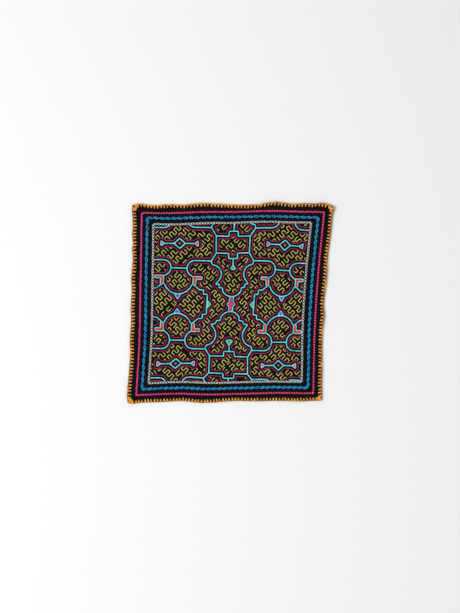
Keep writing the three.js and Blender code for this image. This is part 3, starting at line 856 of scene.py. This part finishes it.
MAZE_EDGE = 143.6
DIAMOND_STITCH = np.array([1.1, 0.3])  # half of the yellow stitch in the middle of each diamond


def turquoise_lines():
    lines = [evened(rounded(copy, LINE_BEND), STEP) for line in CELL_LINES for copy in mirrored(line)]
    rings = [
        evened(rounded(inset(copy, PAD_LINE["width"] / 2), PAD_BEND, closed=True), FINE_STEP)
        for pad in CELL_PADS for copy in mirrored(pad["points"])
    ]
    return lines, rings


def sewn_lines(name, colour, groups, stitch, dent, taper=TAPER):
    """One piece of the groups of lines, which come with the sizes of their thread."""
    threads = Threads(ARCH, stitch, dent)
    for lines, sizes in groups:
        for line in lines:
            for part in inside_field(line):
                threads.add(laid(part[:, 0], part[:, 1], -SINK), **sizes, taper=taper)
    return threads.piece(name, THREADS[colour])


def smoothed(line, passes):
    ends_meet = np.allclose(line[0], line[-1])
    for _ in range(passes):
        middle = (line[:-2] + 2 * line[1:-1] + line[2:]) / 4
        first = (line[-2] + 2 * line[0] + line[1]) / 4 if ends_meet else line[0]
        last = first if ends_meet else line[-1]
        line = np.vstack([first, middle, last])
    return line


def magenta_work(axis, grid):
    chains = [chain for chain in contours(axis, grid, BESIDE) if len(chain) > MAGENTA_SHORT]
    lines = [evened(smoothed(chain, 2), STEP) for chain in chains]
    return sewn_lines("magenta_lines", "magenta", [(lines, MAGENTA)], stitch=2.4, dent=0.16)


def pad_fills():
    pieces = {}
    for pad in CELL_PADS:
        threads = pieces.setdefault(pad["fill"], Threads(ARCH, stitch=8.0, dent=0.15))
        for copy in mirrored(pad["points"]):
            for stitch in satin(inset(copy, pad.get("border", PAD_BORDER)), pad["slant"], SATIN_PITCH):
                for part in inside_field(evened(stitch, FINE_STEP)):
                    threads.add(laid(part[:, 0], part[:, 1], SATIN_HEIGHT), **SATIN)
    return [threads.piece(f"{colour}_pads", THREADS[colour]) for colour, threads in pieces.items()]


def maze_runs():
    """The stretches of square waves at 45 degrees, whose bands lie one way or the other in each patch."""
    patches = {}
    steps = math.ceil(1.5 * MAZE_EDGE / MAZE_PITCH)
    bands = math.ceil(1.5 * MAZE_EDGE / MAZE_BAND)
    for turned in (False, True):
        for band in range(-bands, bands):
            run = []
            for step in range(-steps, steps):
                if run and rng.random() < MAZE_BREAK:
                    yield run
                    run = []
                for side in (-1, 0, 1) if step % 2 else (1, 0, -1):
                    ahead = (step + 0.5) * MAZE_PITCH
                    across = (band + 0.5) * MAZE_BAND + side * MAZE_LEG / 2
                    u, v = (across, ahead) if turned else (ahead, across)
                    patch = (math.floor(u / MAZE_PATCH), math.floor(v / MAZE_PATCH))
                    if patch not in patches:
                        patches[patch] = rng.random() < 0.5
                    spot = np.array([u - v, u + v]) / math.sqrt(2)
                    if patches[patch] == turned and np.abs(spot).max() < MAZE_EDGE + MAZE_LEG:
                        run.append(spot)
                    elif run:
                        yield run
                        run = []
            if run:
                yield run


def maze_work(axis, grid):
    lines = []
    for run in maze_runs():
        if len(run) == 1:
            continue
        spots = np.array([spot + [rng.gauss(0, MAZE_UNEVEN), rng.gauss(0, MAZE_UNEVEN)] for spot in run])
        line = evened(rounded(spots, MAZE_BEND), MAZE_STEP)
        column, row = np.round((line - axis[0]) / GRID_PITCH).astype(int).T
        clear = (np.abs(line).max(axis=1) < MAZE_EDGE) & (grid[row, column] > MAZE_CLEAR)
        lines += [part for part in stretches(line, clear) if len(part) > MAZE_SHORT]
    for centre in mirrored([(CELL_WIDTH, CELL_HEIGHT)]):
        lines.append(evened(np.vstack([centre - DIAMOND_STITCH, centre + DIAMOND_STITCH]), FINE_STEP))
    return sewn_lines("yellow_maze", "yellow", [(lines, MAZE)], stitch=2.0, dent=0.16)


def dress():
    cloth = panel()
    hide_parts("panel")
    rows = {"row_pink": pink_row(), "row_blue": blue_row(), "row_white": white_row()}
    edges = {f"edging_{side}": edging(side) for side in SIDES}
    for node, piece in {**rows, **edges}.items():
        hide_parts(node)
    lines, rings = turquoise_lines()
    turquoise = sewn_lines("turquoise_lines", "turquoise", [(lines, LINE), (rings, PAD_LINE)],
                           stitch=2.6, dent=0.1, taper=0.8)
    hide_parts(*(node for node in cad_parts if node.startswith("linework")))
    axis, grid = distance_grid(lines + rings)
    beside = [magenta_work(axis, grid), maze_work(axis, grid), *pad_fills()]


dress()


# Floor, light and camera

def floor():
    n = Nodes("floor")
    body = n.add("ShaderNodeTexCoord").outputs["Object"]
    fine = n.noise(body, 60.0, 3.0)
    colour = n.mix(n.math("MULTIPLY", fine, 0.3), linear("F6F7F7"), linear("F1F2F2"))
    material = n.finish(colour, n.math("MULTIPLY_ADD", fine, 0.05, 0.7), fine, 0.0002, 0.2, {})
    mesh = bpy.data.meshes.new("floor")
    reach = 5
    corners = [(-reach, -reach, 0), (reach, -reach, 0), (reach, reach, 0), (-reach, reach, 0)]
    mesh.from_pydata(corners, [], [(0, 1, 2, 3)])
    mesh.materials.append(material)
    plane = added("floor", mesh)
    plane.location.z = -0.0003


def area_light(name, place_at, aim, size, watts):
    light = bpy.data.lights.new(name, "AREA")
    light.shape, light.size, light.energy = "DISK", size, watts
    lamp = added(name, light)
    lamp.location = place_at
    way = np.array(aim) - np.array(place_at)
    tilt = math.acos(-way[2] / np.linalg.norm(way))
    lamp.rotation_euler = (tilt, 0, math.atan2(way[1], way[0]) - math.pi / 2)


def lights():
    world = bpy.data.worlds.new("studio")
    world.use_nodes = True
    sky = world.node_tree.nodes["Background"]
    sky.inputs["Color"].default_value = (0.975, 0.99, 0.985, 1)
    sky.inputs["Strength"].default_value = 0.63
    bpy.context.scene.world = world
    area_light("key", place_at=(-2.1, -0.4, 2.7), aim=(0, 0, 0), size=1.6, watts=60)
    bpy.context.scene.view_settings.view_transform = "Standard"


def camera():
    lens = bpy.data.cameras.new("camera")
    lens.sensor_width = 36
    distance = 2.4
    lens.lens = lens.sensor_width * distance / (PHOTO_HEIGHT * PHOTO_SCALE * MM)
    eye = added("camera", lens)
    right = (PHOTO_WIDTH / 2 - PHOTO_ORIGIN[0]) * PHOTO_SCALE
    up = (PHOTO_ORIGIN[1] - PHOTO_HEIGHT / 2) * PHOTO_SCALE
    eye.location = ((right - MIDDLE[0]) * MM, (up - MIDDLE[1]) * MM, distance)
    bpy.context.scene.camera = eye


floor()
lights()
camera()
